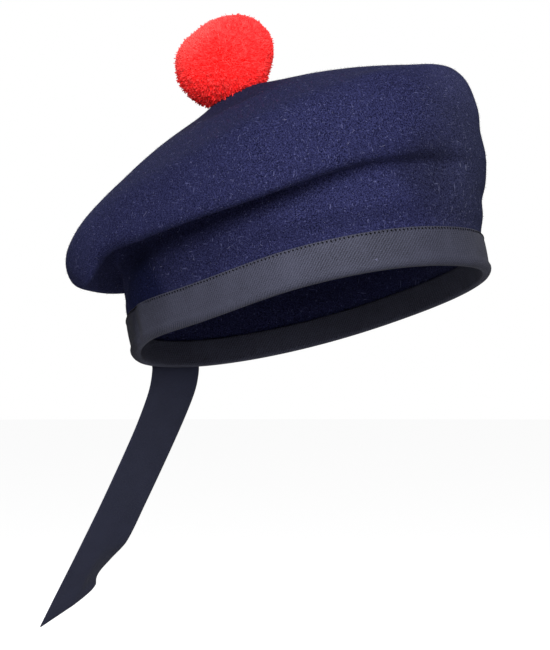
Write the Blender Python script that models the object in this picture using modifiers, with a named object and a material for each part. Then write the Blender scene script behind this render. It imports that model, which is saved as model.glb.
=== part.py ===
"""A balmoral bonnet of navy felt, tilted back as it is worn.

Metres, +Z up. The origin is the middle of the head opening, at the headband's lower edge. The wearer
looks along -Y, so +X is the wearer's left. The hat's own axes are the head opening's plane and its
normal: they lean back by WEAR_TILT about X.
"""

import math
from collections import namedtuple

import bmesh
import bpy
from mathutils import Matrix, Vector

# Head opening, inside the headband, and how it sits on the head
HEAD_LENGTH = 0.1964
HEAD_WIDTH = 0.1478
WEAR_TILT = math.radians(15.3)
# 2 makes the opening an ellipse, more makes it squarer
OPENING_SQUARENESS = 2.25

# Walls, and the clearance between pieces that touch
FELT = 0.0022
RIBBON = 0.0010
GAP = 0.0003

# Headband: the ribbon folded round the felt's lower edge
BAND_HEIGHT = 0.0202
BAND_INSIDE = 0.0145
BAND_CORNER = 0.0006

# Crown: its middle slouches by CROWN_SLOUCH, at a turn from the front towards the wearer's right
CROWN_HEIGHT = 0.1268
CROWN_REACH = 0.0285
CROWN_SLOUCH = 0.0143
SLOUCH_TURN = math.radians(131)
SEAT_RADIUS = 0.009

# Pompom: POMPOM_FLAT is the share of its height that is missing below, where it is sewn down
POMPOM_WIDTH = 0.0545
POMPOM_HEIGHT = 0.0430
POMPOM_FLAT = 0.12
LOCK_LENGTH = 0.0035
LOCK_SPACING = 0.0012

# Ribbon tail, as it hangs from the back of the headband
TAIL_WIDTH = 0.0360
TAIL_LENGTH = 0.172
TAIL_SEWN = 0.0140
TAIL_CUT = 0.0285
# The length over which the tail flattens out from the headband's curve
TAIL_FREE = 0.0430

# How finely the soft forms are divided
AROUND = 60
BALL_STEPS = 3
TAIL_ROWS = 30
TAIL_COLUMNS = 6
SEWN_ROWS = 3
PATH_STEPS = 120

# The crown, a row for each section round the head opening. turn is in degrees from the front towards
# the wearer's right. lift is the wave of the lower edge, a share of BAND_HEIGHT. Heights above the
# lower edge are shares of CROWN_HEIGHT: the crease over the wall, the lip of cloth that hangs over it,
# the widest edge, and the brow where the side becomes the top. How far out each of them lies beyond
# the lower edge is a share of CROWN_REACH: belly halfway up the wall, nip at the crease, lap at the
# lip, reach at the edge and round at the brow.
Section = namedtuple("Section", "turn lift belly crease nip lip lap edge reach brow round")
SECTIONS = (
    Section(0, 0.00, 0.21, 0.385, 0.30, 0.475, 0.46, 0.67, 0.48, 0.825, 0.12),
    Section(30, 0.02, 0.21, 0.385, 0.20, 0.441, 0.55, 0.63, 0.62, 0.765, 0.28),
    Section(60, 0.02, 0.20, 0.405, 0.12, 0.371, 0.72, 0.57, 0.80, 0.70, 0.42),
    Section(90, -0.02, 0.12, 0.420, 0.08, 0.360, 0.86, 0.50, 0.91, 0.630, 0.49),
    Section(120, 0.12, 0.06, 0.42, 0.02, 0.357, 0.84, 0.462, 0.95, 0.59, 0.48),
    Section(150, 0.04, 0.04, 0.41, 0.02, 0.329, 0.70, 0.442, 0.93, 0.582, 0.47),
    Section(180, 0.00, 0.04, 0.40, 0.02, 0.370, 0.57, 0.465, 0.95, 0.63, 0.50),
    Section(210, 0.00, 0.06, 0.41, 0.04, 0.390, 0.50, 0.50, 0.85, 0.69, 0.40),
    Section(240, 0.00, 0.10, 0.41, 0.10, 0.400, 0.44, 0.55, 0.72, 0.77, 0.30),
    Section(270, 0.00, 0.14, 0.42, 0.20, 0.430, 0.40, 0.62, 0.56, 0.835, 0.18),
    Section(300, 0.00, 0.18, 0.43, 0.30, 0.490, 0.37, 0.69, 0.44, 0.870, 0.15),
    Section(330, 0.00, 0.20, 0.43, 0.35, 0.490, 0.38, 0.70, 0.43, 0.870, 0.15),
)

# How the top rises from its brow to the middle: the shares of the way, and the roundness of the dome
TOP_SHARES = (0.72, 0.44, 0.22)
DOME = 1.45

# Rows of faces in each stretch of the crown's profile above the headband, up to the middle
PROFILE_ROWS = (3, 3, 2, 3, 3, 2, 2, 2, 2)

# The tail, a row for each stretch from the headband down. along is a share of TAIL_LENGTH and lean is
# in degrees back from the vertical. sway and curl are shares of TAIL_WIDTH: the sideways place of the
# tail's middle, and how far its left edge bends back.
Hang = namedtuple("Hang", "along lean sway curl")
HANGS = (
    Hang(0.00, 6, 0.07, 0.00),
    Hang(0.10, 28, 0.07, 0.00),
    Hang(0.30, 32, 0.07, 0.00),
    Hang(0.50, 33, 0.07, 0.00),
    Hang(0.66, 34, 0.06, 0.00),
    Hang(0.73, 35, 0.06, 0.16),
    Hang(0.80, 35, 0.06, 0.27),
    Hang(0.86, 35, 0.06, 0.12),
    Hang(1.00, 34, 0.06, 0.02),
)

WALL = FELT + RIBBON + GAP
BAND_OUT = GAP + RIBBON
FOOT = RIBBON + GAP


def blend_between(before, start, end, after, share):
    """A smooth curve from start to end that also looks at the points on both sides."""
    slope_in = (end - before) * 0.5
    slope_out = (after - start) * 0.5
    square = share * share
    cube = square * share
    return (
        start * (2 * cube - 3 * square + 1)
        + slope_in * (cube - 2 * square + share)
        + end * (3 * square - 2 * cube)
        + slope_out * (cube - square)
    )


def section_at(turn):
    """The crown's section at any turn, in radians, read smoothly between the table's rows."""
    count = len(SECTIONS)
    place = (turn / (2 * math.pi) * count) % count
    index = int(place)
    near = [SECTIONS[(index + step) % count] for step in (-1, 0, 1, 2)]
    values = [blend_between(*column, place - index) for column in zip(*near)]
    return Section(*values)


def signed_power(value, power):
    return math.copysign(abs(value) ** power, value)


def ring_point(turn, out, up):
    """A point out from the felt's lower edge at this turn and up from it, in the hat's own axes."""
    half_length = HEAD_LENGTH / 2 + WALL
    half_width = HEAD_WIDTH / 2 + WALL
    across = signed_power(-math.sin(turn), 2 / OPENING_SQUARENESS)
    along = signed_power(-math.cos(turn), 2 / OPENING_SQUARENESS)
    outward = Vector(
        (
            signed_power(across, OPENING_SQUARENESS - 1) / half_width,
            signed_power(along, OPENING_SQUARENESS - 1) / half_length,
            0.0,
        )
    ).normalized()
    height = up + section_at(turn).lift * BAND_HEIGHT
    return Vector((half_width * across, half_length * along, height)) + outward * out


def crown_lay():
    """The slope of the crown's top as a plane through its brows, along the hat's X and Y."""
    count = len(SECTIONS)
    points = [ring_point(math.radians(row.turn), 0.0, row.brow * CROWN_HEIGHT) for row in SECTIONS]
    mean = sum(points, Vector()) / count
    slope_x = sum(p.x * (p.z - mean.z) for p in points) / sum(p.x * p.x for p in points)
    slope_y = sum(p.y * (p.z - mean.z) for p in points) / sum(p.y * p.y for p in points)
    return slope_x, slope_y


def crown_middle():
    """The middle of the crown's top, slouched towards the wearer's right and the back."""
    across = -math.sin(SLOUCH_TURN) * CROWN_SLOUCH
    along = -math.cos(SLOUCH_TURN) * CROWN_SLOUCH
    return Vector((across, along, CROWN_HEIGHT))


def seat_normal():
    """The direction that the pompom stands in on the crown."""
    slope_x, slope_y = crown_lay()
    return Vector((-slope_x, -slope_y, 1.0)).normalized()


def crown_profile(turn):
    """The points that the crown passes through at this turn, from the lower edge to the middle."""
    row = section_at(turn)
    crease_up = row.crease * CROWN_HEIGHT
    side = [
        (0.0, FOOT),
        (0.0, BAND_HEIGHT),
        (row.belly * CROWN_REACH, (BAND_HEIGHT + crease_up) / 2),
        (row.nip * CROWN_REACH, crease_up),
        (row.lap * CROWN_REACH, row.lip * CROWN_HEIGHT),
        (row.reach * CROWN_REACH, row.edge * CROWN_HEIGHT),
        (row.round * CROWN_REACH, row.brow * CROWN_HEIGHT),
    ]
    points = [ring_point(turn, out, up) for out, up in side]
    middle = crown_middle()
    slope_x, slope_y = crown_lay()
    across = points[-1] - middle
    on_plane = slope_x * across.x + slope_y * across.y
    for share in TOP_SHARES:
        height = on_plane * share + (across.z - on_plane) * share**DOME
        points.append(middle + Vector((across.x * share, across.y * share, height)))
    outward = Vector((across.x, across.y, 0.0)).normalized()
    points.append(middle + seat_point(outward) * SEAT_RADIUS)
    return points


def seat_point(outward):
    """A level direction laid onto the sloping top of the crown."""
    slope_x, slope_y = crown_lay()
    return Vector((outward.x, outward.y, slope_x * outward.x + slope_y * outward.y))


def smooth_rows(points, rows):
    """A straight start, then a smooth curve through the rest with so many steps in each stretch."""
    ends = [*points, points[-1] * 2 - points[-2]]
    found = points[:2]
    for index, steps in enumerate(rows):
        found += [blend_between(*ends[index : index + 4], (step + 1) / steps) for step in range(steps)]
    return found


def lofted_mesh(name, loops, closed_loops, closed_rows):
    """A surface through rows of points. Each row is a loop of its own when closed_loops is set."""
    shape = bmesh.new()
    grid = [[shape.verts.new(point) for point in loop] for loop in loops]
    count = len(loops[0])
    for row in range(len(grid) if closed_rows else len(grid) - 1):
        above = grid[(row + 1) % len(grid)]
        for column in range(count if closed_loops else count - 1):
            after = (column + 1) % count
            shape.faces.new((grid[row][column], grid[row][after], above[after], above[column]))
    if closed_loops and not closed_rows:
        shape.faces.new(grid[-1])
    mesh = bpy.data.meshes.new(name)
    shape.to_mesh(mesh)
    shape.free()
    return mesh


def add_object(name, mesh, collection, parent, material):
    mesh.materials.append(material)
    mesh.shade_smooth()
    thing = bpy.data.objects.new(name, mesh)
    thing.parent = parent
    collection.objects.link(thing)
    return thing


def add_wall(thing, thickness, offset):
    wall = thing.modifiers.new("wall", "SOLIDIFY")
    wall.thickness = thickness
    wall.offset = offset
    wall.use_even_offset = True
    wall.use_rim = True


def make_material(name, colour, roughness):
    material = bpy.data.materials.new(name)
    material.use_nodes = True
    shader = material.node_tree.nodes["Principled BSDF"]
    shader.inputs["Base Color"].default_value = (*colour, 1.0)
    shader.inputs["Roughness"].default_value = roughness
    shader.inputs["Metallic"].default_value = 0.0
    return material


def turns_around():
    """The turns of the faces' corners, once round from the front to the wearer's left."""
    return [-2 * math.pi * step / AROUND for step in range(AROUND)]


def make_crown(collection, parent, felt):
    """The felt body: one surface from the lower edge, over the fold, to the middle of the top."""
    profiles = [smooth_rows(crown_profile(turn), PROFILE_ROWS) for turn in turns_around()]
    mesh = lofted_mesh("crown", list(zip(*profiles)), closed_loops=True, closed_rows=False)
    crown = add_object("crown", mesh, collection, parent, felt)
    add_wall(crown, FELT, -1.0)
    return crown


def make_headband(collection, parent, ribbon):
    """The ribbon folded round the felt's lower edge, a closed ring of a U section."""
    outer = BAND_OUT
    inner = -FELT - BAND_OUT
    outline = [
        (outer, BAND_CORNER),
        (outer, BAND_HEIGHT),
        (outer - RIBBON, BAND_HEIGHT),
        (outer - RIBBON, FOOT - GAP),
        (inner + RIBBON, FOOT - GAP),
        (inner + RIBBON, BAND_INSIDE),
        (inner, BAND_INSIDE),
        (inner, BAND_CORNER),
        (inner + BAND_CORNER, 0.0),
        (outer - BAND_CORNER, 0.0),
    ]
    loops = [[ring_point(turn, out, up) for turn in turns_around()] for out, up in outline]
    mesh = lofted_mesh("headband", loops, closed_loops=True, closed_rows=True)
    return add_object("headband", mesh, collection, parent, ribbon)


def make_pompom(collection, parent, yarn):
    """A ball of yarn: a core with a lock on each of its faces, flat where it sits on the crown."""
    normal = seat_normal()
    radius = POMPOM_WIDTH / 2
    half_height = POMPOM_HEIGHT * (1 + POMPOM_FLAT) / 2
    middle = normal * (POMPOM_HEIGHT - half_height)
    shape = bmesh.new()
    bmesh.ops.create_icosphere(shape, subdivisions=BALL_STEPS, radius=radius - LOCK_LENGTH)
    cores = list(shape.faces)
    bmesh.ops.inset_individual(shape, faces=cores, thickness=LOCK_SPACING / 2)
    locks = bmesh.ops.extrude_discrete_faces(shape, faces=cores)["faces"]
    for lock in locks:
        outward = lock.calc_center_median().normalized()
        for vert in lock.verts:
            vert.co += outward * LOCK_LENGTH
    for vert in shape.verts:
        along = vert.co.dot(normal)
        vert.co += normal * along * (half_height / radius - 1)
        vert.co += middle
        vert.co += normal * max(0.0, GAP - vert.co.dot(normal))
    mesh = bpy.data.meshes.new("pompom")
    shape.to_mesh(mesh)
    shape.free()
    mesh.transform(Matrix.Translation(crown_middle()))
    return add_object("pompom", mesh, collection, parent, yarn)


def turn_at_back(across):
    """The turn at which the ring lies this far across from the middle of the back."""
    half_width = HEAD_WIDTH / 2 + WALL
    return math.pi + math.asin(signed_power(across / half_width, OPENING_SQUARENESS / 2))


def hang_at(along):
    """The tail's lean, sway and curl at a share of its length, read smoothly from the table."""
    index = max(i for i, row in enumerate(HANGS[:-1]) if row.along <= along)
    near = [HANGS[min(max(index + step, 0), len(HANGS) - 1)] for step in (-1, 0, 1, 2)]
    share = (along - HANGS[index].along) / (HANGS[index + 1].along - HANGS[index].along)
    return Hang(*[blend_between(*column, share) for column in zip(*near)])


def tail_path(back):
    """The middle of the hanging tail in short even steps, from the headband down."""
    path = [back]
    for step in range(PATH_STEPS):
        lean = math.radians(hang_at((step + 0.5) / PATH_STEPS).lean)
        onward = Vector((0.0, math.sin(lean), -math.cos(lean)))
        path.append(path[-1] + onward * (TAIL_LENGTH / PATH_STEPS))
    return path


def on_path(path, share):
    place = share * (len(path) - 1)
    index = min(int(place), len(path) - 2)
    return path[index].lerp(path[index + 1], place - index)


def make_tail(collection, parent, ribbon):
    """The ribbon's free end: sewn flat on the back of the headband, then hanging over the nape."""
    tilt = Matrix.Rotation(-WEAR_TILT, 4, "X")
    face = BAND_OUT + GAP
    back = tilt @ ring_point(math.pi, face, 0.0)
    path = tail_path(back)
    sides = [column / TAIL_COLUMNS - 0.5 for column in range(TAIL_COLUMNS + 1)]
    rows = []
    for step in range(SEWN_ROWS):
        up = TAIL_SEWN * (1 - step / SEWN_ROWS)
        rows.append([tilt @ ring_point(turn_at_back(side * TAIL_WIDTH), face, up) for side in sides])
    for step in range(TAIL_ROWS + 1):
        row = []
        for side in sides:
            along = step / TAIL_ROWS * (1 - TAIL_CUT / TAIL_LENGTH * (side + 0.5))
            hang = hang_at(along)
            free = min(1.0, along * TAIL_LENGTH / TAIL_FREE)
            free = free * free * (3 - 2 * free)
            round_back = tilt @ ring_point(turn_at_back(side * TAIL_WIDTH), face, 0.0) - back
            across = (side + hang.sway) * TAIL_WIDTH
            flat = Vector((across, hang.curl * TAIL_WIDTH * max(0.0, 2 * side), 0.0))
            row.append(on_path(path, along) + round_back.lerp(flat, free))
        rows.append(row)
    mesh = lofted_mesh("ribbon_tail", rows, closed_loops=False, closed_rows=False)
    mesh.transform(tilt.inverted())
    tail = add_object("ribbon_tail", mesh, collection, parent, ribbon)
    add_wall(tail, RIBBON, 1.0)
    return tail


def main():
    for thing in list(bpy.data.objects):
        bpy.data.objects.remove(thing, do_unlink=True)
    collection = bpy.data.collections.new("balmoral_bonnet")
    bpy.context.scene.collection.children.link(collection)
    seat = bpy.data.objects.new("head_opening", None)
    seat.rotation_euler = (-WEAR_TILT, 0.0, 0.0)
    collection.objects.link(seat)
    felt = make_material("navy_felt", (0.010, 0.010, 0.045), 0.95)
    ribbon = make_material("black_ribbon", (0.018, 0.018, 0.022), 0.60)
    yarn = make_material("red_yarn", (0.80, 0.020, 0.025), 0.90)
    make_crown(collection, seat, felt)
    make_headband(collection, seat, ribbon)
    make_pompom(collection, seat, yarn)
    make_tail(collection, seat, ribbon)


main()
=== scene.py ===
# Balmoral bonnet: a slouched navy felt crown in a black ribbon band, with a red yarn pompom
# and one ribbon tail. Metres, +Z up, and the wearer looks along -Y.
import bisect
import math
import random

import bmesh
import bpy
from mathutils import Matrix, Vector, noise


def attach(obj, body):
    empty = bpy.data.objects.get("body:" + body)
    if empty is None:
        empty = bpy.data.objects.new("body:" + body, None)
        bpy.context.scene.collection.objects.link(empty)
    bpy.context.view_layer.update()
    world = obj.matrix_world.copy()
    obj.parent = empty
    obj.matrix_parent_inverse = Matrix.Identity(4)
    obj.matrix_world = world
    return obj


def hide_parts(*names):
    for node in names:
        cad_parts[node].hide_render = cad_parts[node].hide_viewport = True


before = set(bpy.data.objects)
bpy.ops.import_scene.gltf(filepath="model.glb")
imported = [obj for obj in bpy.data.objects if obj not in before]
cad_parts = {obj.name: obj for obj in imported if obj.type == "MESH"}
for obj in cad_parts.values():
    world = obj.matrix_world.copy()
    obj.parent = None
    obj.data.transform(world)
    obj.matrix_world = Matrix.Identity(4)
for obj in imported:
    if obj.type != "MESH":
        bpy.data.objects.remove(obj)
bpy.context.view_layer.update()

print("frame loaded:", sorted(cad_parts))

# Camera, floor and light
viewSet = {
    "turn": -47.6,             # degrees round the hat, from the wearer's face
    "distance": 1.8,
    "lookAcross": -0.0186,     # the middle of the picture, from the origin
    "lookUp": -0.0035,
    "pictureHeight": 0.34125,  # the height that the picture takes in, at the hat
    "sensor": 36.0,
}
lightSet = {
    # name, watts, size, and its place: across, up, towards the camera
    "lamps": (
        ("key", 84.0, 1.4, (0.12, 1.00, 1.80)),
        ("rim", 2.0, 1.0, (-1.2, 1.5, -0.3)),
        ("side", 3.5, 0.8, (1.5, 0.3, -1.3)),
        ("back", 10.0, 1.0, (-0.5, 0.9, -1.9)),
    ),
    "room": 0.03,   # the soft fill from all sides
    "floorDrop": 0.30, "floorRadius": 9.0, "floorSides": 96,
    "floorTone": (0.48, 0.48, 0.49, 1.0), "floorRoughness": 0.9, "floorGlow": 0.94,
}
white = (1.0, 1.0, 1.0, 1.0)
black = (0.0, 0.0, 0.0, 1.0)

viewTurn = math.radians(viewSet["turn"])
viewBack = Vector((math.sin(viewTurn), -math.cos(viewTurn), 0.0))
viewRight = Vector((math.cos(viewTurn), math.sin(viewTurn), 0.0))
viewUp = Vector((0.0, 0.0, 1.0))


def placeInView(across, up, towards):
    return viewRight * across + viewUp * up + viewBack * towards


def addObject(name, data):
    thing = bpy.data.objects.new(name, data)
    bpy.context.scene.collection.objects.link(thing)
    return thing


def meshFrom(bm, name):
    mesh = bpy.data.meshes.new(name)
    bm.to_mesh(mesh)
    bm.free()
    return mesh


def feedNode(node, feeds):
    # sockets by name or number: an output is linked to one, and anything else is set on it
    for label, value in feeds.items():
        if isinstance(value, bpy.types.NodeSocket):
            node.id_data.links.new(value, node.inputs[label])
        else:
            node.inputs[label].default_value = value
    return node


def addNode(tree, kind, feeds=None, **settings):
    node = tree.nodes.new(kind)
    for key, value in settings.items():
        setattr(node, key, value)
    return feedNode(node, feeds or {})


def fromNode(tree, kind, output, feeds=None, **settings):
    return addNode(tree, kind, feeds, **settings).outputs[output]


def mathNode(tree, operation, *values):
    return fromNode(tree, "ShaderNodeMath", "Value", dict(enumerate(values)), operation=operation)


def timesNode(tree, first, second):
    return mathNode(tree, "MULTIPLY", first, second)


def addCamera():
    lens = bpy.data.cameras.new("photoCamera")
    lens.sensor_width = viewSet["sensor"]
    lens.lens = viewSet["sensor"] * viewSet["distance"] / viewSet["pictureHeight"]
    camera = addObject("photoCamera", lens)
    camera.location = placeInView(viewSet["lookAcross"], viewSet["lookUp"], viewSet["distance"])
    camera.rotation_euler = (math.pi / 2, 0.0, viewTurn)
    bpy.context.scene.camera = camera


def addSoftLight(name, watts, size, place):
    panel = bpy.data.lights.new(name, "AREA")
    panel.energy = watts
    panel.size = size
    lamp = addObject(name + "Light", panel)
    lamp.location = placeInView(*place)
    lamp.rotation_euler = lamp.location.to_track_quat("Z", "Y").to_euler()


def addRoom():
    # white to the camera, a soft even fill for everything else
    room = bpy.data.worlds.new("paleRoom")
    room.use_nodes = True
    tree = room.node_tree
    seen = fromNode(tree, "ShaderNodeLightPath", "Is Camera Ray")
    feeds = {"Value": seen, "To Min": lightSet["room"], "To Max": 1.0}
    fill = fromNode(tree, "ShaderNodeMapRange", "Result", feeds)
    feedNode(tree.nodes["Background"], {"Color": white, "Strength": fill})
    bpy.context.scene.world = room
    bpy.context.scene.view_settings.view_transform = "Standard"


def addFloor():
    bm = bmesh.new()
    bmesh.ops.create_circle(bm, cap_ends=True, segments=lightSet["floorSides"],
                            radius=lightSet["floorRadius"])
    bmesh.ops.translate(bm, vec=(0.0, 0.0, -lightSet["floorDrop"]), verts=bm.verts)
    floor = addObject("paleFloor", meshFrom(bm, "paleFloor"))
    paint = bpy.data.materials.new("palePaint")
    paint.use_nodes = True
    tree = paint.node_tree
    seen = fromNode(tree, "ShaderNodeLightPath", "Is Camera Ray")
    feedNode(tree.nodes["Principled BSDF"], {
        "Base Color": lightSet["floorTone"], "Roughness": lightSet["floorRoughness"],
        "Emission Color": white, "Emission Strength": timesNode(tree, seen, lightSet["floorGlow"]),
    })
    floor.data.materials.append(paint)


addCamera()
for lampRow in lightSet["lamps"]:
    addSoftLight(*lampRow)
addRoom()
addFloor()
print("camera, floor and light are in place")

# Finishes. Shared effects are groups of their own.


def newGroup(name, inputs, outputs):
    tree = bpy.data.node_groups.new(name, "ShaderNodeTree")
    tree.interface.new_socket("Vector", in_out="INPUT", socket_type="NodeSocketVector")
    for label, value in inputs.items():
        socket = tree.interface.new_socket(label, in_out="INPUT", socket_type="NodeSocketFloat")
        socket.default_value = value
    for label in outputs:
        tree.interface.new_socket(label, in_out="OUTPUT", socket_type="NodeSocketFloat")
    return tree, addNode(tree, "NodeGroupInput").outputs, addNode(tree, "NodeGroupOutput")


def sumNode(tree, values, shares):
    # a sum in which each value has its share
    first, *others = [timesNode(tree, value, share) for value, share in zip(values, shares)]
    for other in others:
        first = mathNode(tree, "ADD", first, other)
    return first


def noiseNode(tree, where, scale, detail, roughness=0.5, distortion=0.0):
    return fromNode(tree, "ShaderNodeTexNoise", "Fac", {
        "Vector": where, "Scale": scale, "Detail": detail, "Roughness": roughness, "Distortion": distortion})


def spreadNode(tree, value, low, high, newLow=0.0, newHigh=1.0):
    # a value eased from one range to another
    feeds = {"Value": value, "From Min": low, "From Max": high, "To Min": newLow, "To Max": newHigh}
    return fromNode(tree, "ShaderNodeMapRange", "Result", feeds, interpolation_type="SMOOTHSTEP")


def patchNode(tree, where, grain, spread):
    # uneven patches: a noise's scale, detail and roughness, and the range that it is spread over
    return spreadNode(tree, noiseNode(tree, where, *grain), *spread)


def mixColour(tree, share, first, second, blend="MIX"):
    feeds = {0: share, 6: first, 7: second}   # a mix of colours has these sockets, and output 2
    return fromNode(tree, "ShaderNodeMix", 2, feeds, data_type="RGBA", blend_type=blend)


def tintByPlace(tree, where, base, tints):
    # the tints paint light and shade into the colour
    # each tint: how far along a direction or from a point, the range in metres, the tone and its blend
    for measure, origin, spread, tone, blend in tints:
        apart = fromNode(tree, "ShaderNodeVectorMath", "Value", {0: where, 1: origin}, operation=measure)
        base = mixColour(tree, spreadNode(tree, apart, *spread), base, tone, blend)
    return base


def bumpNode(tree, height, strength, distance):
    feeds = {"Height": height, "Strength": strength, "Distance": distance}
    return fromNode(tree, "ShaderNodeBump", "Normal", feeds)


def newFinish(name, surface):
    finish = bpy.data.materials.new(name)
    finish.use_nodes = True
    tree = finish.node_tree
    shader = feedNode(tree.nodes["Principled BSDF"], surface)
    return finish, tree, shader, fromNode(tree, "ShaderNodeTexCoord", "Object")


woolLook = {
    "grain": 1500.0,
    # noises: scale as a share of the grain's, detail, roughness, distortion
    "fine": (1.0, 2.0, 0.65, 0.0), "finer": (2.3, 1.0, 0.5, 0.0),
    "clouds": (0.035, 3.0, 0.55, 0.0), "fibres": (0.9, 1.0, 0.5, 0.6),
    # how each lay of fibres is turned and stretched
    "lays": (
        ((0.4, 0.2, 0.3), (1.0, 0.16, 1.0)),
        ((1.1, 0.5, 1.9), (0.16, 1.0, 1.0)),
        ((0.2, 1.3, 0.8), (1.0, 1.0, 0.16)),
    ),
    "grainShares": (0.6, 0.4),   # of the fine grain and the finer
    "heights": (0.5, 0.9),       # of the grain and the fibres
    "grainRange": (0.34, 0.66), "cloudRange": (0.35, 0.65), "fleckRange": (0.68, 0.78),
}


def makeWoolGrain():
    # felted or spun wool: fine grain, broad clouds, and short pale fibres that lie in all directions
    tree, given, out = newGroup(
        "woolGrain", {"Grain": woolLook["grain"]}, ("Grain", "Clouds", "Flecks", "Height"))

    def noiseOf(name, where=given["Vector"]):
        beside, *look = woolLook[name]
        return noiseNode(tree, where, timesNode(tree, given["Grain"], beside), *look)

    fibres = []
    for turned, stretched in woolLook["lays"]:
        feeds = {"Vector": given["Vector"], "Rotation": turned, "Scale": stretched}
        fibres.append(noiseOf("fibres", fromNode(tree, "ShaderNodeMapping", "Vector", feeds)))
    most = mathNode(tree, "MAXIMUM", mathNode(tree, "MAXIMUM", fibres[0], fibres[1]), fibres[2])
    grain = sumNode(tree, (noiseOf("fine"), noiseOf("finer")), woolLook["grainShares"])
    grain = spreadNode(tree, grain, *woolLook["grainRange"])
    feedNode(out, {
        "Grain": grain, "Clouds": spreadNode(tree, noiseOf("clouds"), *woolLook["cloudRange"]),
        "Flecks": spreadNode(tree, most, *woolLook["fleckRange"]),
        "Height": sumNode(tree, (grain, most), woolLook["heights"]),
    })
    return tree


twillLook = {
    "pitch": 0.00095, "slant": 0.45, "threadPitch": 0.62,   # the last is a share of the ribs' pitch
    "wander": (380.0, 3.0), "wanderBy": 0.0011,             # how the ribs stray
    # patches, with what patchNode takes
    "strength": ((950.0, 2.0), (0.36, 0.60, 0.10, 0.55)),
    "speckle": ((1500.0, 2.0, 0.7), (0.32, 0.68)),
    "wear": ((55.0, 4.0, 0.6), (0.35, 0.70)),
    "threadShares": (0.30, 0.70),   # of the threads and the speckle
    "heights": (0.7, 0.2, 0.3),     # of the ribs, the threads and the speckle
}


def makeTwillWeave():
    # slanted ribs of a woven ribbon; its vector is in metres of cloth, along the ribbon and across it
    tree, given, out = newGroup(
        "twillWeave", {"Rib Pitch": twillLook["pitch"], "Slant": twillLook["slant"]},
        ("Ribs", "Threads", "Wear", "Height"))
    where, pitch = given["Vector"], given["Rib Pitch"]
    parts = addNode(tree, "ShaderNodeSeparateXYZ", {"Vector": where}).outputs

    def waveOf(distance, period, strength):
        # a wave about a half
        turns = mathNode(tree, "DIVIDE", distance, period)
        wave = mathNode(tree, "SINE", timesNode(tree, turns, math.tau))
        return mathNode(tree, "MULTIPLY_ADD", wave, strength, 0.5)

    wander = timesNode(tree, noiseNode(tree, where, *twillLook["wander"]), twillLook["wanderBy"])
    slanted = mathNode(tree, "SUBTRACT", parts["X"], timesNode(tree, parts["Y"], given["Slant"]))
    strength = patchNode(tree, where, *twillLook["strength"])
    ribs = waveOf(mathNode(tree, "ADD", slanted, wander), pitch, strength)
    threads = waveOf(parts["Y"], timesNode(tree, pitch, twillLook["threadPitch"]), 0.5)
    speckle = patchNode(tree, where, *twillLook["speckle"])
    feedNode(out, {
        "Ribs": ribs, "Threads": sumNode(tree, (threads, speckle), twillLook["threadShares"]),
        "Wear": patchNode(tree, where, *twillLook["wear"]),
        "Height": sumNode(tree, (ribs, threads, speckle), twillLook["heights"]),
    })
    return tree


woolGrain = makeWoolGrain()
twillWeave = makeTwillWeave()

feltLook = {
    "surface": {"Roughness": 1.0, "Sheen Weight": 0.022, "Sheen Tint": (0.38, 0.45, 1.00, 1.0),
                "Sheen Roughness": 0.45, "Specular IOR Level": 0.03},
    "dark": (0.0004, 0.0006, 0.0054, 1.0), "navy": (0.0285, 0.0305, 0.0930, 1.0),
    "cloud": (0.0150, 0.0165, 0.0510, 1.0), "fleck": (0.090, 0.095, 0.200, 1.0),
    "grain": 1400.0, "cloudShare": 0.20, "fleckShare": 0.65, "bump": 0.55, "depth": 0.0005,
    "tints": (
        # painted shade round the pompom's foot where the pompom shades the felt, partly a darker nap there
        ("DISTANCE", (-0.0137, 0.0515, 0.1150), (0.032, 0.058, 0.40, 0.0), (0.010, 0.009, 0.015, 1.0), "MIX"),
        # painted highlight and sheen: paler at the forehead, its shoulder and the back lobe, where the light
        # falls
        ("DOT_PRODUCT", (0.674, -0.738, 0.0), (0.044, 0.086), (1.22, 1.23, 0.92, 1.0), "MULTIPLY"),
        ("DOT_PRODUCT", (0.450, -0.490, 0.750), (0.124, 0.144), (1.50, 1.46, 1.50, 1.0), "MULTIPLY"),
        ("DOT_PRODUCT", (-0.674, 0.738, 0.0), (0.098, 0.118), (1.32, 1.32, 1.27, 1.0), "MULTIPLY"),
        # painted shade: darker in the hollow that the lobe covers, and under the front fold
        ("DISTANCE", (-0.070, 0.055, 0.012), (0.014, 0.028, 1.0, 0.0), (0.38, 0.45, 0.62, 1.0), "MULTIPLY"),
        ("DISTANCE", (-0.016, -0.090, 0.077), (0.008, 0.026, 1.0, 0.0), (0.74, 0.74, 0.68, 1.0), "MULTIPLY"),
    ),
}


def makeFeltFinish():
    look = feltLook
    finish, tree, shader, where = newFinish("navyFelt", look["surface"])
    feeds = {"Vector": where, "Grain": look["grain"]}
    wool = addNode(tree, "ShaderNodeGroup", feeds, node_tree=woolGrain).outputs
    base = mixColour(tree, wool["Grain"], look["dark"], look["navy"])
    base = mixColour(tree, timesNode(tree, wool["Clouds"], look["cloudShare"]), base, look["cloud"])
    base = mixColour(tree, timesNode(tree, wool["Flecks"], look["fleckShare"]), base, look["fleck"])
    # painted highlights and painted shade, from the tints in feltLook
    base = tintByPlace(tree, where, base, look["tints"])
    bump = bumpNode(tree, wool["Height"], look["bump"], look["depth"])
    feedNode(shader, {"Base Color": base, "Normal": bump})
    return finish


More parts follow.
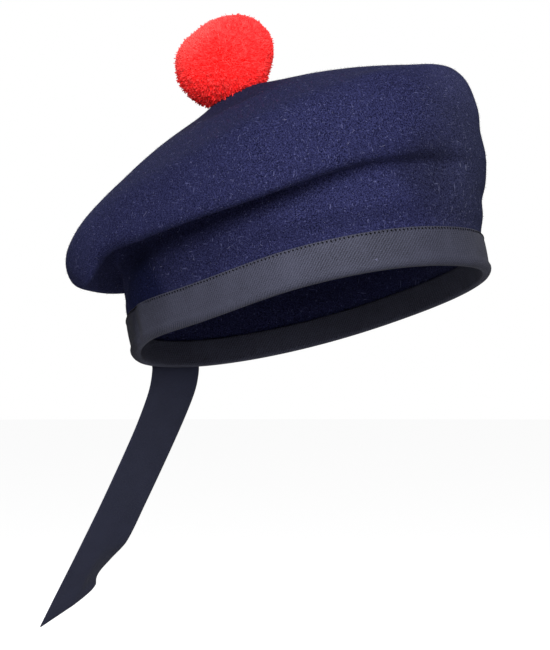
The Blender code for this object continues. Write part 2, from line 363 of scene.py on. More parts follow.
ribbonLook = {
    "surface": {"Sheen Weight": 0.02, "Sheen Tint": (0.8, 0.8, 0.9, 1.0), "Sheen Roughness": 0.4,
                "Specular IOR Level": 0.20},
    "shares": (0.50, 0.50),        # of the ribs and the threads in the tone
    "roughness": (0.85, 0.62),     # between the ribs, and on them
    "wornShare": 0.25, "bump": 0.6,
    "bandRibbon": {
        "dark": (0.002, 0.0025, 0.0060, 1.0), "pale": (0.068, 0.0700, 0.107, 1.0),
        "pitch": 0.00162, "slant": -0.82, "depth": 0.0004,
        # painted shade: darker towards the wearer's left front, and a dark painted shade at the right back
        # where the band turns away
        "tints": (
            ("DOT_PRODUCT", (0.674, -0.738, 0.0), (-0.012, 0.035), (0.755, 0.760, 0.775, 1.0), "MULTIPLY"),
            ("DOT_PRODUCT", (-0.674, 0.738, 0.0), (0.0885, 0.0930), (0.36, 0.36, 0.42, 1.0), "MULTIPLY"),
        ),
    },
    "tailRibbon": {
        "dark": (0.0070, 0.0084, 0.0200, 1.0), "pale": (0.0280, 0.0310, 0.0620, 1.0),
        "pitch": 0.00110, "slant": 0.8, "depth": 0.0002, "tints": (),
    },
}


def makeRibbonFinish(name):
    look = ribbonLook[name]
    finish, tree, shader, place = newFinish(name, ribbonLook["surface"])
    where = fromNode(tree, "ShaderNodeUVMap", "UV", uv_map="clothMetres")
    feeds = {"Vector": where, "Rib Pitch": look["pitch"], "Slant": look["slant"]}
    weave = addNode(tree, "ShaderNodeGroup", feeds, node_tree=twillWeave).outputs
    share = sumNode(tree, (weave["Ribs"], weave["Threads"]), ribbonLook["shares"])
    base = mixColour(tree, share, look["dark"], look["pale"])
    base = mixColour(tree, timesNode(tree, weave["Wear"], ribbonLook["wornShare"]), base, look["pale"])
    # painted shade on the band, from its tints
    base = tintByPlace(tree, place, base, look["tints"])
    rough = spreadNode(tree, weave["Ribs"], 0.0, 1.0, *ribbonLook["roughness"])
    bump = bumpNode(tree, weave["Height"], ribbonLook["bump"], look["depth"])
    feedNode(shader, {"Base Color": base, "Roughness": rough, "Normal": bump})
    return finish


yarnLook = {
    # the emission gives the yarn a painted glow, set below
    "surface": {"Roughness": 0.9, "Sheen Weight": 0.12, "Sheen Tint": (1.0, 0.55, 0.5, 1.0),
                "Sheen Roughness": 0.5, "Specular IOR Level": 0.15, "Emission Strength": 0.36},
    "dark": (0.90, 0.010, 0.012, 1.0), "bright": (1.0, 0.024, 0.026, 1.0), "pale": (1.0, 0.062, 0.060, 1.0),
    "tufts": ((420.0, 3.0, 0.6), (0.38, 0.66)),
    # painted highlight: paler high at the back, where the light falls
    "tints": (
        ("DOT_PRODUCT", (-0.506, 0.554, 0.66), (0.132, 0.152, 0.0, 0.8), (1.0, 0.125, 0.115, 1.0), "MIX"),
    ),
    # painted shade low on the ball: strands darker low down, by height, and by the strand's shade
    "paintedShade": (0.14, 0.002, 0.004, 1.0), "paintedShadeLow": (0.114, 0.129, 1.0, 0.0),
    "paintedShadeStrands": (0.10, 0.45, 0.75, 0.0),
    # painted glow: the emission stands in for light that has passed through the pile; weak low on the ball
    # and at the ends of strands
    "paintedGlow": (1.0, 0.018, 0.018, 1.0), "paintedGlowLow": (0.1080, 0.1200, 0.40, 1.0),
    "paintedGlowTips": (0.2, 1.0, 1.0, 0.35),
}


def makeYarnFinish():
    # each strand has its own shade, and the ends are paler where they stand free; a painted highlight,
    # painted shade and a painted glow are added
    look = yarnLook
    finish, tree, shader, where = newFinish("redYarn", look["surface"])
    shade = fromNode(tree, "ShaderNodeAttribute", "Fac", attribute_name="shade")
    tip = fromNode(tree, "ShaderNodeAttribute", "Fac", attribute_name="tip")
    height = fromNode(tree, "ShaderNodeSeparateXYZ", "Z", {"Vector": where})
    base = mixColour(tree, shade, look["dark"], look["bright"])
    free = timesNode(tree, tip, patchNode(tree, where, *look["tufts"]))
    base = mixColour(tree, free, base, look["pale"])
    # painted highlight high at the back
    base = tintByPlace(tree, where, base, look["tints"])
    paintedShade = timesNode(tree, spreadNode(tree, height, *look["paintedShadeLow"]),
                       spreadNode(tree, shade, *look["paintedShadeStrands"]))
    base = mixColour(tree, paintedShade, base, look["paintedShade"])
    paintedGlow = timesNode(tree, spreadNode(tree, height, *look["paintedGlowLow"]),
                       mathNode(tree, "SUBTRACT", 1.0, paintedShade))
    paintedGlow = timesNode(tree, paintedGlow, spreadNode(tree, tip, *look["paintedGlowTips"]))
    glow = mixColour(tree, paintedGlow, black, look["paintedGlow"])
    feedNode(shader, {"Base Color": base, "Emission Color": glow})
    return finish


threadLook = {
    "paleLint": ((0.17, 0.17, 0.27, 1.0), 0.8),   # colour and roughness
    "blackThread": ((0.0015, 0.0015, 0.0025, 1.0), 0.9),
    "specular": 0.1,
    "shades": ((900.0, 2.0), (0.3, 0.7, 0.6, 1.3)),   # lighter and darker along the thread
}


def makeThreadFinish(name):
    colour, roughness = threadLook[name]
    surface = {"Roughness": roughness, "Specular IOR Level": threadLook["specular"]}
    finish, tree, shader, where = newFinish(name, surface)
    shade = patchNode(tree, where, *threadLook["shades"])
    base = mixColour(tree, 1.0, colour, shade, "MULTIPLY")
    feedNode(shader, {"Base Color": base})
    return finish


navyFelt = makeFeltFinish()
bandRibbon = makeRibbonFinish("bandRibbon")
tailRibbon = makeRibbonFinish("tailRibbon")
redYarn = makeYarnFinish()
paleLint = makeThreadFinish("paleLint")
blackThread = makeThreadFinish("blackThread")
print("finishes are mixed")

# The head opening, which everything is measured from
headForm = {
    "length": 0.1964, "width": 0.1478, "squareness": 2.25,
    "felt": 0.0022, "ribbon": 0.0010, "gap": 0.0003,
    "tilt": math.radians(15.3),             # it is worn leaning back
    "ringSteps": 1440,                      # for measuring the way round
    "probeTurn": 0.002, "probeOut": 0.01,   # the step that a direction on the ring is taken over
}
bandForm = {"height": 0.0202}
wornTilt = Matrix.Rotation(-headForm["tilt"], 4, "X")
feltOut = headForm["felt"] + headForm["ribbon"] + headForm["gap"]

# Each row of the crown: degrees from the front towards the wearer's right, the wave of the lower edge,
# then heights in shares of the crown's height and widths in shares of its reach.
crownForm = {
    "height": 0.1268, "reach": 0.0285, "slouch": 0.0143, "slouchTurn": 131.0, "seat": 0.009,
    "named": ("turn", "lift", "belly", "crease", "nip", "lip", "lap", "edge", "reach", "brow", "round"),
    "sections": (
        (0, 0.00, 0.21, 0.385, 0.30, 0.475, 0.46, 0.67, 0.48, 0.825, 0.12),
        (30, 0.02, 0.21, 0.385, 0.20, 0.441, 0.55, 0.63, 0.62, 0.765, 0.28),
        (60, 0.02, 0.20, 0.405, 0.12, 0.371, 0.72, 0.57, 0.80, 0.70, 0.42),
        (90, -0.02, 0.12, 0.420, 0.08, 0.360, 0.86, 0.50, 0.91, 0.630, 0.49),
        (120, 0.12, 0.06, 0.42, 0.02, 0.357, 0.84, 0.462, 0.95, 0.59, 0.48),
        (150, 0.04, 0.04, 0.41, 0.02, 0.329, 0.70, 0.442, 0.93, 0.582, 0.47),
        (180, 0.00, 0.04, 0.40, 0.02, 0.370, 0.57, 0.465, 0.95, 0.63, 0.50),
        (210, 0.00, 0.06, 0.41, 0.04, 0.390, 0.50, 0.50, 0.85, 0.69, 0.40),
        (240, 0.00, 0.10, 0.41, 0.10, 0.400, 0.44, 0.55, 0.72, 0.77, 0.30),
        (270, 0.00, 0.14, 0.42, 0.20, 0.430, 0.40, 0.62, 0.56, 0.835, 0.18),
        (300, 0.00, 0.18, 0.43, 0.30, 0.490, 0.37, 0.69, 0.44, 0.870, 0.15),
        (330, 0.00, 0.20, 0.43, 0.35, 0.490, 0.38, 0.70, 0.43, 0.870, 0.15),
    ),
    "topShares": (0.72, 0.44, 0.22), "dome": 1.45,
    "around": 168, "bandRows": 2,
    "rows": (8, 7, 5, 8, 8, 6, 4, 4, 3, 3),   # rows of faces in each stretch, the last to the middle
}


def blendBetween(before, start, end, after, share):
    slopeIn = (end - before) * 0.5
    slopeOut = (after - start) * 0.5
    square = share * share
    cube = square * share
    return (start * (2 * cube - 3 * square + 1) + slopeIn * (cube - 2 * square + share)
            + end * (3 * square - 2 * cube) + slopeOut * (cube - square))


def sectionAt(turn):
    rows = crownForm["sections"]
    place = (turn / math.tau * len(rows)) % len(rows)
    index = int(place)
    near = [rows[(index + step) % len(rows)] for step in (-1, 0, 1, 2)]
    return dict(zip(crownForm["named"], [blendBetween(*column, place - index) for column in zip(*near)]))


def signedPower(value, power):
    return math.copysign(abs(value) ** power, value)


def ringPoint(turn, out, up):
    # a place beside the felt's lower edge, in the hat's own axes
    halfLength = headForm["length"] / 2 + feltOut
    halfWidth = headForm["width"] / 2 + feltOut
    power = headForm["squareness"]
    across = signedPower(-math.sin(turn), 2 / power)
    along = signedPower(-math.cos(turn), 2 / power)
    outward = Vector((signedPower(across, power - 1) / halfWidth,
                      signedPower(along, power - 1) / halfLength, 0.0))
    height = up + sectionAt(turn)["lift"] * bandForm["height"]
    return Vector((halfWidth * across, halfLength * along, height)) + outward.normalized() * out


def measureRing():
    # how far round the felt's edge each turn lies, so that columns and stitches keep an even pitch
    steps = headForm["ringSteps"]
    lengths = [0.0]
    last = ringPoint(0.0, 0.0, 0.0)
    for step in range(1, steps + 1):
        here = ringPoint(-math.tau * step / steps, 0.0, 0.0)
        lengths.append(lengths[-1] + (here - last).length)
        last = here
    return lengths


ringLengths = measureRing()
ringLength = ringLengths[-1]


def turnAtShare(share):
    # the turn at a share of the way round, from the front towards the wearer's left
    target = min(max(share, 0.0), 1.0) * ringLength
    index = min(max(bisect.bisect_right(ringLengths, target) - 1, 0), len(ringLengths) - 2)
    part = (target - ringLengths[index]) / (ringLengths[index + 1] - ringLengths[index])
    return -math.tau * (index + part) / (len(ringLengths) - 1)


def crownLay():
    rows = crownForm["sections"]
    points = [ringPoint(math.radians(row[0]), 0.0, row[9] * crownForm["height"]) for row in rows]
    mean = sum(points, Vector()) / len(points)
    slopeX = sum(p.x * (p.z - mean.z) for p in points) / sum(p.x * p.x for p in points)
    slopeY = sum(p.y * (p.z - mean.z) for p in points) / sum(p.y * p.y for p in points)
    return slopeX, slopeY


slopeX, slopeY = crownLay()
slouchTurn = math.radians(crownForm["slouchTurn"])
crownMiddle = Vector((-math.sin(slouchTurn) * crownForm["slouch"],
                      -math.cos(slouchTurn) * crownForm["slouch"], crownForm["height"]))
seatNormal = Vector((-slopeX, -slopeY, 1.0)).normalized()


def crownProfile(turn):
    # the places that the felt passes through at this turn, from the lower edge to the middle
    row = sectionAt(turn)
    high, wide = crownForm["height"], crownForm["reach"]
    band = bandForm["height"]
    foot = headForm["ribbon"] + headForm["gap"]
    side = [(0.0, foot), (0.0, band), (row["belly"] * wide, (band + row["crease"] * high) / 2)]
    for out, up in (("nip", "crease"), ("lap", "lip"), ("reach", "edge"), ("round", "brow")):
        side.append((row[out] * wide, row[up] * high))
    points = [ringPoint(turn, out, up) for out, up in side]
    across = points[-1] - crownMiddle
    onPlane = slopeX * across.x + slopeY * across.y
    for share in crownForm["topShares"]:
        rise = onPlane * share + (across.z - onPlane) * share ** crownForm["dome"]
        points.append(crownMiddle + Vector((across.x * share, across.y * share, rise)))
    outward = Vector((across.x, across.y, 0.0)).normalized()
    laid = Vector((outward.x, outward.y, slopeX * outward.x + slopeY * outward.y))
    points.append(crownMiddle + laid * crownForm["seat"])
    points.append(crownMiddle.copy())
    return points


def smoothRows(points):
    # a straight start in the band, then a smooth curve; each place comes with its level on the profile
    ends = [*points, points[-1] * 2 - points[-2]]
    steps = crownForm["bandRows"]
    found = [(points[0].lerp(points[1], step / steps), step / steps) for step in range(steps + 1)]
    for index, steps in enumerate(crownForm["rows"]):
        for step in range(1, steps + 1):
            place = blendBetween(*ends[index:index + 4], step / steps)
            found.append((place, index + 1 + step / steps))
    return found


weldDistance = 1e-6


def wornMesh(bm, name):
    # the finished shape with its faces outwards, leaning back as it is worn
    bmesh.ops.recalc_face_normals(bm, faces=bm.faces)
    bmesh.ops.transform(bm, matrix=wornTilt, verts=bm.verts)
    return meshFrom(bm, name)


def bendGrid(columns, rows, placeAt, wraps):
    # a flat grid is bent into the cloth; placeAt gives a corner's place, its cloth metres and its marks
    bm = bmesh.new()
    uvs = bm.loops.layers.uv.new("clothMetres")
    turnMark = bm.verts.layers.float.new("turn")
    levelMark = bm.verts.layers.float.new("level")
    bmesh.ops.create_grid(bm, x_segments=columns, y_segments=rows, size=0.5)
    metres = {}
    for vert in bm.verts:
        column = round((vert.co.x + 0.5) * columns)
        row = round((vert.co.y + 0.5) * rows)
        vert.co, metres[vert], vert[turnMark], vert[levelMark] = placeAt(column, row)
    for face in bm.faces:
        for corner in face.loops:
            corner[uvs].uv = metres[corner.vert]
    if wraps:
        bmesh.ops.remove_doubles(bm, verts=bm.verts, dist=weldDistance)
    return bm


def addPiece(name, mesh, finish, replaced=()):
    mesh.name = name
    mesh.materials.clear()
    mesh.materials.append(finish)
    mesh.shade_smooth()
    piece = addObject(name, mesh)
    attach(piece, "root")
    if replaced:
        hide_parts(*replaced)
    return piece


def soften(piece):
    soft = piece.modifiers.new("soft", "SUBSURF")
    soft.levels = 1
    soft.render_levels = 1


def thicken(piece, thickness, offset):
    wall = piece.modifiers.new("wall", "SOLIDIFY")
    wall.thickness = thickness
    wall.offset = offset
    wall.use_even_offset = True
    wall.use_rim = True
    soften(piece)


# Felt crown
crownLook = {
    # dents, swells and lifts worked into the felt: turn, level on the profile, how wide, how tall,
    # how deep, and for a lift how far up
    "dents": (
        (325, 5.80, 30, 0.25, 0.0008), (325, 4.50, 24, 0.20, 0.0011),
        (325, 4.00, 20, 0.18, -0.0005), (325, 2.05, 30, 0.32, 0.0018),
        (62, 4.22, 40, 0.34, -0.0018), (60, 3.20, 45, 0.16, 0.0012),
        (30, 3.25, 26, 0.40, 0.0010), (7, 3.25, 18, 0.42, 0.0024),
        (345, 3.40, 14, 0.60, -0.0014), (62, 8.50, 40, 0.80, 0.0060),
        (22, 1.95, 38, 0.45, -0.0008), (138, 2.00, 15, 0.60, 0.0028),
        (122, 4.10, 9, 0.50, 0.0, -0.0105), (153, 4.00, 13, 0.60, 0.0, 0.0030),
        (106, 4.35, 24, 0.30, -0.0022), (85, 1.85, 28, 0.40, -0.0010),
        (119, 2.65, 15, 0.75, 0.0040), (20, 6.45, 55, 0.28, 0.0012),
        (75, 5.70, 40, 0.35, -0.0010), (352, 5.10, 9, 0.14, -0.0007),
        (6, 5.45, 9, 0.14, -0.0009), (19, 5.95, 9, 0.16, -0.0009),
        (32, 6.50, 9, 0.18, -0.0006), (205, 6.20, 22, 0.45, 0.0022),
        (245, 5.20, 18, 0.60, 0.0020), (178, 5.60, 14, 0.60, 0.0014),
    ),
    "sway": ((0.00042, 26.0), (0.00022, 90.0)),   # soft unevenness: height and waves to the metre
    "clearLevel": (1.0, 1.7),                     # it fades out above the band
    "clothPerLevel": 0.02,                        # roughly, metres of felt to a level
}


def turnBetween(first, second):
    return abs((first - second + 180.0) % 360.0 - 180.0)


def pressCrown(bm):
    turnMark, levelMark = bm.verts.layers.float["turn"], bm.verts.layers.float["level"]
    bm.normal_update()
    low, high = crownLook["clearLevel"]
    moves = []
    for vert in bm.verts:
        degrees, level = math.degrees(vert[turnMark]), vert[levelMark]
        push = raised = 0.0
        for turn, middle, wide, tall, depth, *lift in crownLook["dents"]:
            aside = turnBetween(degrees, turn) / wide
            above = (level - middle) / tall
            share = math.exp(-aside * aside - above * above)
            push -= depth * share
            raised += sum(lift) * share
        for height, waves in crownLook["sway"]:
            push += height * noise.noise(vert.co * waves)
        fade = min(max((level - low) / (high - low), 0.0), 1.0)
        moves.append((vert.normal * push + Vector((0.0, 0.0, raised))) * fade * fade * (3 - 2 * fade))
    for vert, move in zip(bm.verts, moves):
        vert.co += move


def makeCrown():
    columns = crownForm["around"]
    profiles = []
    for column in range(columns + 1):
        turn = turnAtShare(column / columns)
        profiles.append((turn, smoothRows(crownProfile(turn))))
    rows = len(profiles[0][1]) - 1

    def placeAt(column, row):
        turn, profile = profiles[column]
        place, level = profile[row]
        return place, (column / columns * ringLength, level * crownLook["clothPerLevel"]), turn, level

    bm = bendGrid(columns, rows, placeAt, wraps=True)
    pressCrown(bm)
    crown = addPiece("feltCrown", wornMesh(bm, "crownSkin"), navyFelt, ["crown"])
    thicken(crown, headForm["felt"], -1.0)
    return crown


crown = makeCrown()
print("felt crown:", len(crown.data.polygons), "faces before its wall")

# Loose fibres on the felt: short nap all over, and pale lint that lies on it
fibreLook = {
    "nap": {"density": 1.1e5, "seed": 21, "lean": 0.9, "widths": (0.7, 1.3), "lengths": (0.0005, 0.0011)},
    "lint": {"density": 2.4e4, "seed": 33, "lean": 0.12, "widths": (0.6, 1.2), "lengths": (0.4, 1.2)},
    "long": {"density": 6.0e2, "seed": 47, "lean": 0.10, "widths": (1.6, 3.0), "lengths": (1.0, 1.4)},
    "napWidth": 0.00006, "napTip": 0.00003,
    "lintShape": (0.0009, 0.00007, 0.22),       # length, width, arch
    "fromLevel": 1.15, "toLevel": 9.4,
    "cuts": (-0.25, 0.0, 0.25), "rise": 0.12,   # where a fibre bends, and how far its middle stands off
    "nearest": (0.5, 8.0),                      # what a degree and a level count for in finding a corner
    # fibres that were laid one by one: turn, level, length, width, arch, spin on the felt
    "laid": (
        (51.8, 7.45, 0.0090, 0.00016, -0.10, 4.0),
        (35.2, 4.38, 0.0024, 0.00016, 0.10, 60.0),
        (25.0, 4.10, 0.0030, 0.00012, 0.15, 12.0),
        (128.0, 5.60, 0.0026, 0.00013, 0.20, 50.0),
        (3.8, 5.25, 0.0030, 0.00013, 0.20, -35.0),
        (78.0, 1.60, 0.0022, 0.00014, 0.18, 30.0),
    ),
    # lint on the band: share of the way round, height, length, width, slant
    "onBand": ((0.9185, 0.0056, 0.0013, 0.00045, 10.0), (0.9190, 0.0052, 0.0008, 0.00040, 60.0)),
    "bandArch": 0.1,
}
fibreSides = 3   # of every fibre and strand


def feltGround(crown):
    # the crown's outer face, without what the band and the pompom cover
    bm = bmesh.new()
    bm.from_mesh(crown.data)
    level = bm.verts.layers.float["level"]
    covered = [v for v in bm.verts if not fibreLook["fromLevel"] < v[level] < fibreLook["toLevel"]]
    bmesh.ops.delete(bm, geom=covered, context="VERTS")
    return meshFrom(bm, "feltGround")


def makeFibreShape(length, width, arch):
    # a thin bent fibre that lies on the origin along x
    bm = bmesh.new()
    bmesh.ops.create_cone(bm, cap_ends=True, segments=fibreSides, radius1=width / 2, radius2=width / 2,
                          depth=length)
    bmesh.ops.rotate(bm, cent=(0, 0, 0), matrix=Matrix.Rotation(math.pi / 2, 3, "Y"), verts=bm.verts)
    for cut in fibreLook["cuts"]:
        parts = [*bm.verts, *bm.edges, *bm.faces]
        bmesh.ops.bisect_plane(bm, geom=parts, plane_co=(cut * length, 0, 0), plane_no=(1, 0, 0))
    for vert in bm.verts:
        along = vert.co.x / length
        vert.co.y += arch * length * (along * along * 2 + along ** 3)
        vert.co.z += width * 0.5 + fibreLook["rise"] * length * (0.25 - along * along)
    return meshFrom(bm, "fibreShape")


def layFibre(bm, crown, turn, level, length, width, arch, spin):
    # the nearest corner of the felt, and an upright frame on it: x round the hat, z out of the felt
    turns, levels = crown.data.attributes["turn"].data, crown.data.attributes["level"].data
    byTurn, byLevel = fibreLook["nearest"]

    def misfit(vert):
        aside = turnBetween(math.degrees(turns[vert.index].value), turn)
        return aside * byTurn + abs(levels[vert.index].value - level) * byLevel

    foot = min(crown.data.vertices, key=misfit)
    side = Vector((0, 0, 1)).cross(foot.normal).normalized()
    frameOnFelt = Matrix((side, foot.normal.cross(side), foot.normal)).transposed().to_4x4()
    shape = makeFibreShape(length, width, arch)
    shape.transform(Matrix.Translation(foot.co) @ frameOnFelt @ Matrix.Rotation(math.radians(spin), 4, "Z"))
    bm.from_mesh(shape)


def makeFibres(crown):
    ground = feltGround(crown)
    nap = makeStrandShape(fibreLook["napWidth"], fibreLook["napTip"], 0.0)
    mesh = growStrands("feltNap", ground.copy(), nap, fibreLook["nap"])
    addPiece("feltNap", mesh, navyFelt)
    joined = bmesh.new()
    for name in ("lint", "long"):
        shape = makeFibreShape(*fibreLook["lintShape"])
        joined.from_mesh(growStrands("lint" + name, ground.copy(), shape, fibreLook[name]))
    for row in fibreLook["laid"]:
        layFibre(joined, crown, *row)
    lying = Matrix.Rotation(-math.pi / 2, 4, "X")
    for share, up, length, width, slant in fibreLook["onBand"]:
        shape = makeFibreShape(length, width, fibreLook["bandArch"])
        shape.transform(wornTilt @ onBand(share, bandLook["stitchOut"], up, slant) @ lying)
        joined.from_mesh(shape)
    lint = addPiece("paleLint", meshFrom(joined, "paleLint"), paleLint)
    print("nap and lint:", len(mesh.polygons), len(lint.data.polygons), "faces")


# Ribbon band, folded round the felt's lower edge
bandLook = {
    "columns": 300,
    # the fold's outline: out from the felt, and up; the outer leg is drawn in by its stitches
    "outline": (
        (0.0003, 0.0190), (0.0004, 0.0201), (0.0008, 0.0203), (0.0011, 0.0199), (0.00105, 0.0188),
        (0.00125, 0.0170), (0.0013, 0.0130), (0.0012, 0.0080), (0.0009, 0.0054), (0.0021, 0.0038),
        (0.0015, 0.0018), (0.0003, 0.0002), (-0.0010, 0.0), (-0.0031, 0.0003), (-0.0035, 0.0012),
        (-0.0035, 0.0060), (-0.0035, 0.0110), (-0.0034, 0.0142), (-0.0030, 0.0145), (-0.0025, 0.0141),
        (-0.0025, 0.0080), (-0.0024, 0.0014), (-0.0011, 0.0010), (0.0002, 0.0014), (0.0003, 0.0100),
    ),
    "sway": (0.00025, 40.0, 0.05, 10),   # soft unevenness: height, waves, their scale, denser upwards
    "outerLeg": (0.0004, 0.0007),        # this far out it begins, and it is whole so much further out
    "creases": ((123.5, 2.4, 0.0010), (118.5, 3.0, -0.0005)),   # turn, width in degrees, depth
    "stitchUp": 0.0191, "stitchOut": 0.00116, "stitchPitch": 0.0022, "stitchSlant": -50.0,
    "stitchLength": 0.00130, "stitchWidth": 0.00088,
    "stitchSeed": 7, "slantDrift": 6, "upDrift": 0.0001,
    "stitchShape": (6, 5, 0.7),          # sides, rings, and how flat it lies
}


def makeBand():
    outline = bandLook["outline"]
    lengths = [0.0]
    for first, second in zip(outline, [*outline[1:], outline[0]]):
        lengths.append(lengths[-1] + math.dist(first, second))
    columns, rows = bandLook["columns"], len(outline)
    height, waves, scale, upward = bandLook["sway"]
    start, fade = bandLook["outerLeg"]

    def placeAt(column, row):
        turn = turnAtShare(column / columns)
        out, up = outline[row % rows]
        swayAt = Vector((math.sin(turn), math.cos(turn), up * upward)) * waves * scale
        push = abs(height * noise.noise(swayAt))
        for middle, wide, depth in bandLook["creases"]:
            aside = turnBetween(math.degrees(turn), middle) / wide
            push -= depth * math.exp(-aside * aside)
        outer = min(max((out - start) / fade, 0.0), 1.0)
        place = ringPoint(turn, out + push * outer, up)
        return place, (column / columns * ringLength, lengths[row]), turn, up

    bm = bendGrid(columns, rows, placeAt, wraps=True)
    band = addPiece("ribbonBand", wornMesh(bm, "bandSkin"), bandRibbon, ["headband"])
    soften(band)
    return band


def sewStitches(name, places, length, width):
    # places are matrices: x along the thread, y out of the cloth
    sides, rings, flat = bandLook["stitchShape"]
    bm = bmesh.new()
    bmesh.ops.create_uvsphere(bm, u_segments=sides, v_segments=rings, radius=0.5)
    bmesh.ops.scale(bm, vec=(length, width * flat, width), verts=bm.verts)
    shape = meshFrom(bm, "stitchShape")
    bm = bmesh.new()
    for matrix in places:
        start = len(bm.verts)
        bm.from_mesh(shape)
        bm.verts.ensure_lookup_table()
        bmesh.ops.transform(bm, matrix=matrix, verts=bm.verts[start:])
    bmesh.ops.transform(bm, matrix=wornTilt, verts=bm.verts)
    bpy.data.meshes.remove(shape)
    addPiece(name, meshFrom(bm, name), blackThread)


def ringFrame(turn, out, up):
    # an upright frame beside the ring: x along it, y outwards
    aside, away = headForm["probeTurn"], headForm["probeOut"]
    along = (ringPoint(turn - aside, out, up) - ringPoint(turn + aside, out, up)).normalized()
    outward = (ringPoint(turn, out + away, up) - ringPoint(turn, out, up)).normalized()
    return Matrix((along, outward, -outward.cross(along))).transposed().to_4x4()


def onBand(share, out, up, slant):
    # a place on the band's outer face, its frame turned by the slant
    turn = turnAtShare(share)
    placed = Matrix.Translation(ringPoint(turn, out, up)) @ ringFrame(turn, out, up)
    return placed @ Matrix.Rotation(math.radians(slant), 4, "Y")


def makeBandStitches():
    count = round(ringLength / bandLook["stitchPitch"])
    slantDrift, upDrift = bandLook["slantDrift"], bandLook["upDrift"]
    rng = random.Random(bandLook["stitchSeed"])
    places = []
    for index in range(count):
        slant = bandLook["stitchSlant"] + rng.uniform(-slantDrift, slantDrift)
        up = bandLook["stitchUp"] + rng.uniform(-upDrift, upDrift)
        places.append(onBand((index + 0.5) / count, bandLook["stitchOut"], up, slant))
    sewStitches("bandStitches", places, bandLook["stitchLength"], bandLook["stitchWidth"])


band = makeBand()
makeBandStitches()
print("ribbon band and its stitches are made")

# Ribbon tail
tailForm = {
    # sewn flat at its top, cut aslant at its end, and free of the back's curve this far down
    "width": 0.0360, "length": 0.172, "sewn": 0.0140, "cut": 0.0285, "free": 0.0430,
    # how it hangs: share of its length, lean in degrees, sway and curl in shares of its width
    "named": ("along", "lean", "sway", "curl"),
    "hangs": (
        (0.00, 6, 0.07, 0.00), (0.10, 28, 0.07, 0.00), (0.30, 32, 0.07, 0.00),
        (0.50, 33, 0.07, 0.00), (0.66, 34, 0.06, 0.00), (0.73, 35, 0.06, 0.16),
        (0.80, 35, 0.06, 0.27), (0.86, 35, 0.06, 0.12), (1.00, 34, 0.06, 0.02),
    ),
    "columns": 14, "rows": 84, "sewnRows": 6, "pathSteps": 240, "thickness": 0.0006,
    "proud": 0.0002,   # its face stands off the band's by the gap and this
    "stitchRows": (0.0030, 0.0122), "stitchCount": 13, "stitchInset": 0.004, "stitchOut": 0.0022,
    "stitchLength": 0.0018, "stitchWidth": 0.0007, "stitchSeed": 19, "upDrift": 0.0002,
}
tailForm["area"] = tailForm["width"] * (tailForm["sewn"] + tailForm["length"] - tailForm["cut"] / 2)


def hangAt(along):
    rows = tailForm["hangs"]
    index = max(i for i, row in enumerate(rows[:-1]) if row[0] <= along)
    near = [rows[min(max(index + step, 0), len(rows) - 1)] for step in (-1, 0, 1, 2)]
    share = (along - rows[index][0]) / (rows[index + 1][0] - rows[index][0])
    return dict(zip(tailForm["named"], [blendBetween(*column, share) for column in zip(*near)]))


def turnAtBack(across):
    # the turn at which the ring lies this far across from the middle of the back
    halfWidth = headForm["width"] / 2 + feltOut
    return math.pi + math.asin(signedPower(across / halfWidth, headForm["squareness"] / 2))


def makeTail():
    form = tailForm
    face = headForm["gap"] * 2 + headForm["ribbon"] + form["proud"]
    back = wornTilt @ ringPoint(math.pi, face, 0.0)
    width, length = form["width"], form["length"]
    pathSteps = form["pathSteps"]
    path = [back]
    for step in range(pathSteps):
        lean = math.radians(hangAt((step + 0.5) / pathSteps)["lean"])
        path.append(path[-1] + Vector((0.0, math.sin(lean), -math.cos(lean))) * (length / pathSteps))

    def onPath(share):
        place = share * (len(path) - 1)
        index = min(int(place), len(path) - 2)
        return path[index].lerp(path[index + 1], place - index)

    sewnRows, rows, columns = form["sewnRows"], form["rows"], form["columns"]

    def placeAt(column, row):
        side = column / columns - 0.5
        turn = turnAtBack(side * width)
        if row < sewnRows:
            up = form["sewn"] * (1 - row / sewnRows)
            return wornTilt @ ringPoint(turn, face, up), (side * width, up), turn, 0.0
        step = (row - sewnRows) / (rows - sewnRows)
        along = step * (1 - form["cut"] / length * (side + 0.5))
        hang = hangAt(along)
        loose = min(1.0, along * length / form["free"])
        loose = loose * loose * (3 - 2 * loose)
        roundBack = wornTilt @ ringPoint(turn, face, 0.0) - back
        curl = hang["curl"] * width * max(0.0, 2 * side)
        flat = Vector(((side + hang["sway"]) * width, curl, 0.0))
        return onPath(along) + roundBack.lerp(flat, loose), (side * width, -along * length), turn, along

    bm = bendGrid(columns, rows, placeAt, wraps=False)
    bmesh.ops.recalc_face_normals(bm, faces=bm.faces)
    tail = addPiece("ribbonTail", meshFrom(bm, "tailSkin"), tailRibbon, ["ribbon_tail"])
    thicken(tail, form["thickness"], 0.0)


def makeTailStitches():
    # two short rows hold the tail's sewn end to the band
    count, drift = tailForm["stitchCount"], tailForm["upDrift"]
    rng = random.Random(tailForm["stitchSeed"])
    places = []
    for up in tailForm["stitchRows"]:
        for step in range(count):
            turn = turnAtBack((step / (count - 1) - 0.5) * (tailForm["width"] - tailForm["stitchInset"]))
            here = ringPoint(turn, tailForm["stitchOut"], up + rng.uniform(-drift, drift))
            places.append(Matrix.Translation(here) @ ringFrame(turn, 0.0, up))
    sewStitches("tailStitches", places, tailForm["stitchLength"], tailForm["stitchWidth"])


makeTail()
makeTailStitches()
print("ribbon tail hangs at the back")

